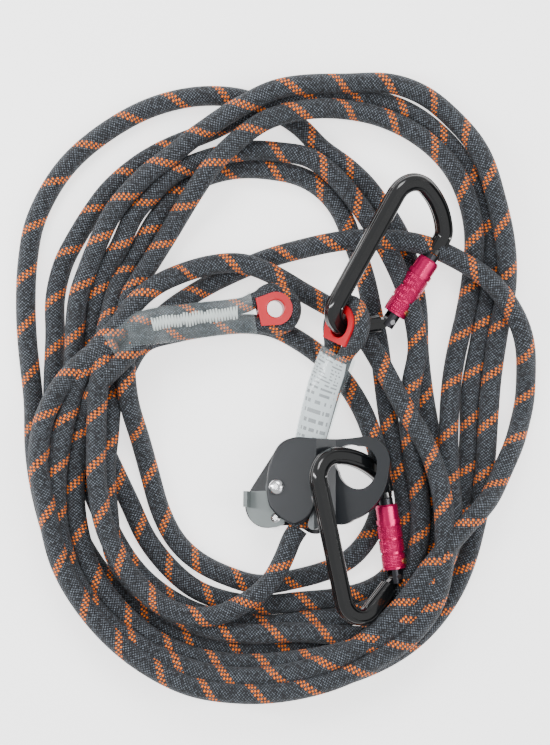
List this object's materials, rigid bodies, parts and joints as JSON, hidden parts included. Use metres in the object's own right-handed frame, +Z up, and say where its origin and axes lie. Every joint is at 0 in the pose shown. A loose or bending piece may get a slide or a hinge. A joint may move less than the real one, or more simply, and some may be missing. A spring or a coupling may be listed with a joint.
{
  "type": "rope ascender",
  "caption": "Rope adjuster with a release lever on a coiled lanyard rope, with sewn thimble eyes and locking connectors.",
  "frame": {"origin": "on the floor, under the middle of the hardware (everything but the free rope and its tail eye)", "axes": "+Z up from the floor, +Y from the lower connector towards the upper connector"},
  "size_m": [0.315, 0.377, 0.0516],
  "materials": {
    "plates": "satin blue-grey anodising",
    "rivets": "polished domes",
    "guide": "dark anodising",
    "spring_wire": "bare spring wire",
    "lever": "light grey anodising",
    "cam": "bead blasted",
    "connector_frame": "gloss black anodising",
    "gate": "dark anodising",
    "pin": "bare",
    "bush": "magenta anodising",
    "lock_sleeve": "magenta anodising, knurled",
    "brass": "bare",
    "thimble": "moulded red",
    "shrink_film": "clear film over dark rope, white stitching",
    "rope": "braided, light flecks and an orange tracer"
  },
  "bodies": {
    "adjuster": {"front_plate": "plates", "rear_plate": "plates", "rivet_main": "rivets", "rope_guide": "guide", "rivet_guide": "rivets", "torsion_spring": "spring_wire", "rope_through": "rope", "thimble_head": "thimble", "thimble_tail": "thimble", "rope_loop_head": "rope", "rope_loop_tail": "rope", "sleeve_head": "shrink_film", "sleeve_tail": "shrink_film", "rope_exit": "rope", "rope_tail": "rope", "rope_coil_01": "rope", "rope_coil_02": "rope", "rope_coil_03": "rope", "rope_coil_04": "rope", "rope_coil_05": "rope", "rope_coil_06": "rope", "rope_coil_07": "rope", "rope_coil_08": "rope", "rope_coil_09": "rope", "rope_coil_10": "rope", "rope_coil_11": "rope", "rope_coil_12": "rope", "rope_coil_13": "rope", "rope_coil_14": "rope", "rope_coil_15": "rope", "rope_coil_16": "rope", "rope_coil_17": "rope", "rope_coil_18": "rope", "rope_arch_1": "rope", "rope_arch_2": "rope", "rope_arch_3": "rope", "rope_cross_1": "rope", "rope_cross_2": "rope"},
    "release_lever": {"lever_cheek": "lever", "lever_cam": "cam", "lever_rivet": "rivets"},
    "connector_lower": {"body_lower": "connector_frame", "hinge_pin_lower": "pin"},
    "gate_lower_body": {"gate_lower": "gate"},
    "lock_bush_lower_body": {"lock_bush_lower": "bush"},
    "lock_sleeve_lower_body": {"lock_sleeve_lower": "lock_sleeve", "lock_pin_lower": "brass"},
    "connector_upper": {"body_upper": "connector_frame", "hinge_pin_upper": "pin"},
    "gate_upper_body": {"gate_upper": "gate"},
    "lock_bush_upper_body": {"lock_bush_upper": "bush"},
    "lock_sleeve_upper_body": {"lock_sleeve_upper": "lock_sleeve", "lock_pin_upper": "brass"}
  },
  "joints": [
    {"name": "lever_turn", "type": "hinge", "parent": "adjuster", "child": "release_lever", "pos_m": [-0.03895, -0.0514, 0.016], "axis": [-0.2201, 0.1, 0.9703], "range_deg": [-20, 0], "stiffness_Nm_per_rad": 0.1, "springref_deg": 8.59},
    {"name": "swing_lower", "type": "hinge", "parent": "adjuster", "child": "connector_lower", "pos_m": [0.00638, -0.03424, 0.02454], "axis": [-0.8151, 0.333, 0.474], "range_deg": [0, 35]},
    {"name": "gate_lower_swing", "type": "hinge", "parent": "connector_lower", "child": "gate_lower_body", "pos_m": [0.02991, -0.10459, 0.01774], "axis": [0.529, 0.0955, 0.8433], "range_deg": [0, 10], "stiffness_Nm_per_rad": 0.2, "springref_deg": -11.46},
    {"name": "bush_lower_slide", "type": "slide", "parent": "gate_lower_body", "child": "lock_bush_lower_body", "axis": [-0.1275, 0.9913, -0.0322], "range_m": [-0.0024, 0], "stiffness_N_per_m": 300, "springref_m": 0.001},
    {"name": "sleeve_lower_twist", "type": "hinge", "parent": "lock_bush_lower_body", "child": "lock_sleeve_lower_body", "pos_m": [0.02991, -0.10459, 0.01774], "axis": [-0.1275, 0.9913, -0.0322], "range_deg": [0, 90], "stiffness_Nm_per_rad": 0.02, "springref_deg": -5.73},
    {"name": "swing_upper", "type": "hinge", "parent": "adjuster", "child": "connector_upper", "pos_m": [0.00005, 0.04519, 0.03044], "axis": [-0.7671, 0.1039, 0.633], "range_deg": [-30, 0]},
    {"name": "gate_upper_swing", "type": "hinge", "parent": "connector_upper", "child": "gate_upper_body", "pos_m": [0.0262, 0.04873, 0.01787], "axis": [0.4552, -0.3327, 0.8259], "range_deg": [0, 25], "stiffness_Nm_per_rad": 0.2, "springref_deg": -11.46},
    {"name": "bush_upper_slide", "type": "slide", "parent": "gate_upper_body", "child": "lock_bush_upper_body", "axis": [0.5471, 0.8363, 0.0353], "range_m": [-0.0024, 0], "stiffness_N_per_m": 300, "springref_m": 0.001},
    {"name": "sleeve_upper_twist", "type": "hinge", "parent": "lock_bush_upper_body", "child": "lock_sleeve_upper_body", "pos_m": [0.0262, 0.04873, 0.01787], "axis": [0.5471, 0.8363, 0.0353], "range_deg": [0, 90], "stiffness_Nm_per_rad": 0.02, "springref_deg": -5.73}
  ]
}
